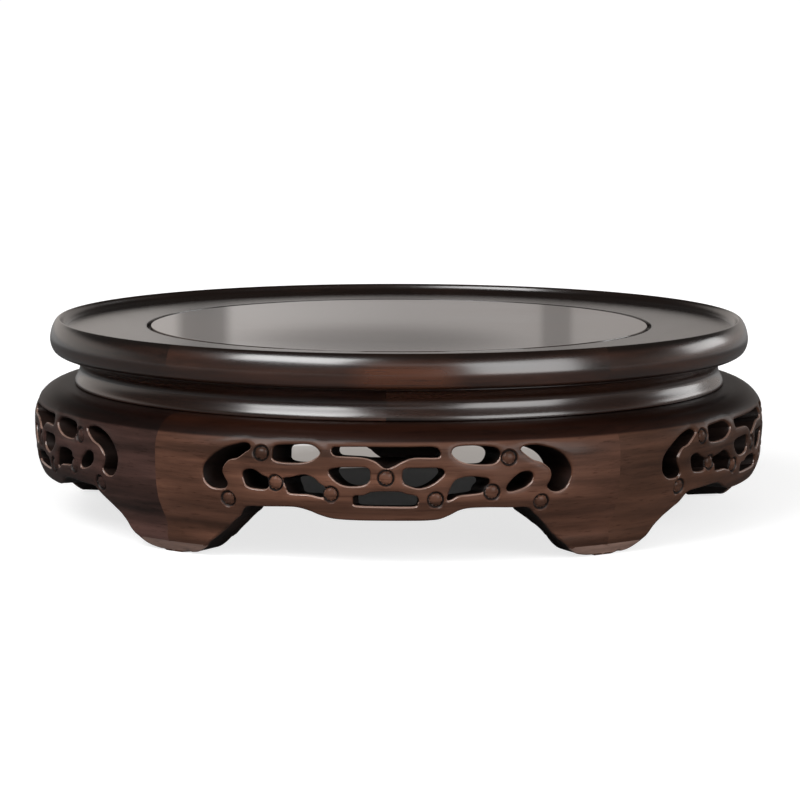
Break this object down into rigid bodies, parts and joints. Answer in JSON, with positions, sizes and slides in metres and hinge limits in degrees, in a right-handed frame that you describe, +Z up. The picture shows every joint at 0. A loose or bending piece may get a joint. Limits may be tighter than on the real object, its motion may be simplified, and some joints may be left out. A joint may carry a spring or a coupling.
{
  "type": "vase stand",
  "caption": "Low round carved hardwood stand: lipped platform, recessed waist, pierced fret aprons and short curved legs; it raises a vase or bowl off the table.",
  "frame": {"origin": "on the stand's axis, in the plane of the soles", "axes": "+Z up along the stand's axis, -Y towards the middle of the front apron, +X to the right seen from the front"},
  "size_m": [0.24, 0.24, 0.064],
  "materials": {
    "apron_wood": "dark brown hardwood, satin lacquer, carved face",
    "waist_wood": "near-black brown hardwood, gloss lacquer",
    "rim_wood": "near-black brown hardwood, gloss lacquer, a reddish streak at the front",
    "panel_wood": "near-black brown hardwood, polished flat, gloss lacquer",
    "inner_wood": "bare paler hardwood inside the joints and underneath"
  },
  "bodies": {
    "root": {"apron_leg_block_1": "apron_wood", "apron_leg_block_2": "apron_wood", "apron_leg_block_3": "apron_wood", "apron_leg_block_4": "apron_wood", "apron_leg_block_5": "apron_wood", "waist_segment_1": "waist_wood", "waist_segment_2": "waist_wood", "waist_segment_3": "waist_wood", "waist_segment_4": "waist_wood", "waist_segment_5": "waist_wood", "rim_segment_1": "rim_wood", "rim_segment_2": "rim_wood", "rim_segment_3": "rim_wood", "rim_segment_4": "rim_wood", "rim_segment_5": "rim_wood", "rim_spline_1": "inner_wood", "rim_spline_2": "inner_wood", "rim_spline_3": "inner_wood", "rim_spline_4": "inner_wood", "rim_spline_5": "inner_wood", "leg_dowel_low_1": "inner_wood", "leg_dowel_low_2": "inner_wood", "leg_dowel_low_3": "inner_wood", "leg_dowel_low_4": "inner_wood", "leg_dowel_low_5": "inner_wood", "leg_dowel_high_1": "inner_wood", "leg_dowel_high_2": "inner_wood", "leg_dowel_high_3": "inner_wood", "leg_dowel_high_4": "inner_wood", "leg_dowel_high_5": "inner_wood", "rim_dowel_left_1": "inner_wood", "rim_dowel_left_2": "inner_wood", "rim_dowel_left_3": "inner_wood", "rim_dowel_left_4": "inner_wood", "rim_dowel_left_5": "inner_wood", "rim_dowel_right_1": "inner_wood", "rim_dowel_right_2": "inner_wood", "rim_dowel_right_3": "inner_wood", "rim_dowel_right_4": "inner_wood", "rim_dowel_right_5": "inner_wood", "centre_panel": "panel_wood", "panel_batten": "inner_wood"}
  },
  "joints": []
}
